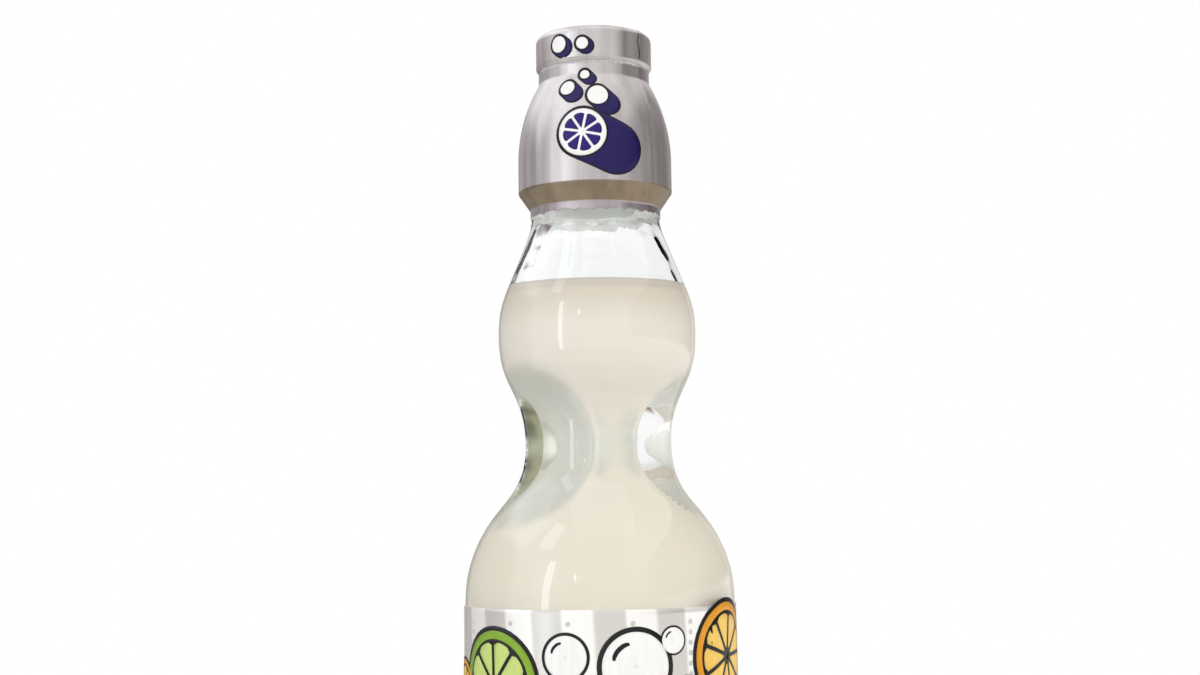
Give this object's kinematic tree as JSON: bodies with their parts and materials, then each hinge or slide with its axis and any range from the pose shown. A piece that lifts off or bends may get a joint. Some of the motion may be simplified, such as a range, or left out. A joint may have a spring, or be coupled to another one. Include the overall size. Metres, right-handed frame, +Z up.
{
  "type": "marble stopper bottle",
  "caption": "Clear soda bottle with a pinched waist and bulbous neck, sealed from inside by a glass marble that a plunger under a tear-off film pushes free.",
  "frame": {"origin": "centre of the foot, on the surface the bottle stands on", "axes": "+Z up the neck, the two waist dents on +X and -X, the printed front faces between -Y and -X"},
  "size_m": [0.0584, 0.0584, 0.2059],
  "materials": {
    "clear_glass": "clear flint glass, glossy, slightly wavy",
    "marble_glass": "polished pale glass",
    "seal_rubber": "smooth black rubber",
    "collar_plastic": "natural white moulded plastic",
    "ring_plastic": "natural white moulded plastic",
    "plunger_plastic": "glossy natural white moulded plastic",
    "silver_film": "silver metallised shrink film with soft upright streaks",
    "label_film": "printed silver-grey shrink film"
  },
  "bodies": {
    "bottle": {"glass_bottle": "clear_glass", "gasket_ring": "seal_rubber", "spout_collar": "collar_plastic", "collar_film": "silver_film", "body_label": "label_film"},
    "marble": {"marble": "marble_glass"},
    "plunger": {"plunger": "plunger_plastic"},
    "seal": {"breakaway_ring": "ring_plastic", "seal_film": "silver_film"}
  },
  "joints": [
    {"name": "marble_drop", "type": "slide", "parent": "bottle", "child": "marble", "axis": [0, 0, -1], "range_m": [0, 0.0488]},
    {"name": "plunger_press", "type": "slide", "parent": "bottle", "child": "plunger", "axis": [0, 0, -1], "range_m": [0, 0.0082]},
    {"name": "seal_lift", "type": "slide", "parent": "bottle", "child": "seal", "axis": [0, 0, 1], "range_m": [0, 0.02]}
  ],
  "couplings": [
    {"joint": "plunger_press", "follows": "marble_drop", "ratio": 0.168}
  ]
}
